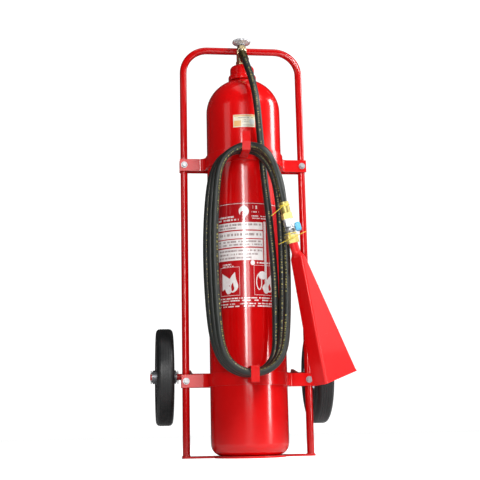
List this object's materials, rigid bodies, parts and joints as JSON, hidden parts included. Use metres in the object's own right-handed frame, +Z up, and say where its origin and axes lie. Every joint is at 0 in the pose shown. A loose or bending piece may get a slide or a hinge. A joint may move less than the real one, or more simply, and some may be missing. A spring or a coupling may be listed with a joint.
{
  "type": "wheeled fire extinguisher",
  "caption": "Tall steel carbon dioxide cylinder strapped to a tube trolley with wheels, with a coiled hose on hooks, a hand valve and a flat fan-shaped horn.",
  "frame": {"origin": "on the cylinder's axis at the underside of the base plate, where the trolley stands on the floor", "axes": "+Z up along the cylinder's axis; -Y the front, where the hose hangs; +Y the back, where the wheels are; +X to the right seen from the front, the horn's side"},
  "size_m": [0.5849, 0.5838, 1.3],
  "materials": {
    "red_paint": "glossy enamel",
    "horn_red": "glossy moulded",
    "wheel_grey": "satin enamel",
    "tyre_black": "matt",
    "hose_black": "satin",
    "brass": "satin",
    "zinc_yellow": "yellow zinc plated",
    "steel": "bright zinc plated",
    "chrome": "polished",
    "lever_blue": "glossy moulded",
    "tie_yellow": "matt",
    "label": "printed film",
    "label_light": "printed film",
    "tube_alu": "drawn"
  },
  "bodies": {
    "trolley": {"axle": "red_paint", "axle_brackets": "red_paint", "axle_washers": "steel", "ball_valve_body": "steel", "base_plate": "red_paint", "burst_disc_plug": "brass", "clamp_bolts": "steel", "clamp_nuts": "steel", "clamp_washers": "steel", "cotter_pins": "steel", "cylinder": "red_paint", "dip_tube": "tube_alu", "end_ferrule": "zinc_yellow", "frame_tube": "red_paint", "gland_nut": "brass", "horn": "horn_red", "horn_nut": "zinc_yellow", "hose": "hose_black", "inlet_ferrule": "zinc_yellow", "label_main": "label", "label_small": "label_light", "lower_clamp_front": "red_paint", "lower_clamp_rear": "red_paint", "lower_hook": "red_paint", "neck_collar": "red_paint", "outlet_elbow": "brass", "outlet_nut": "brass", "seal_ties": "tie_yellow", "union_nut": "steel", "upper_clamp_front": "red_paint", "upper_clamp_rear": "red_paint", "upper_hook": "red_paint", "valve_body": "brass"},
    "handwheel_set": {"spindle": "steel", "handwheel": "chrome", "handwheel_nut": "steel"},
    "lever_set": {"valve_ball": "chrome", "lever": "steel", "lever_sleeve": "lever_blue", "lever_nut": "steel"},
    "wheel_left": {"tyre_left": "tyre_black", "rim_left": "wheel_grey", "wheel_disc_left": "wheel_grey", "hub_left": "wheel_grey", "bush_left": "brass"},
    "wheel_right": {"tyre_right": "tyre_black", "rim_right": "wheel_grey", "wheel_disc_right": "wheel_grey", "hub_right": "wheel_grey", "bush_right": "brass"}
  },
  "joints": [
    {"name": "handwheel_turn", "type": "hinge", "parent": "trolley", "child": "handwheel_set", "pos_m": [0, 0, 1.289], "axis": [0, 0, 1], "range_deg": [0, 720]},
    {"name": "lever_swing", "type": "hinge", "parent": "trolley", "child": "lever_set", "pos_m": [0.10602, -0.18269, 0.64047], "axis": [-0.95, 0.2463, -0.192], "range_deg": [0, 90]},
    {"name": "wheel_left_roll", "type": "hinge", "parent": "trolley", "child": "wheel_left", "pos_m": [-0.2427, 0.185, 0.2455], "axis": [1, 0, 0], "continuous": true},
    {"name": "wheel_right_roll", "type": "hinge", "parent": "trolley", "child": "wheel_right", "pos_m": [0.2427, 0.185, 0.2455], "axis": [1, 0, 0], "continuous": true}
  ]
}
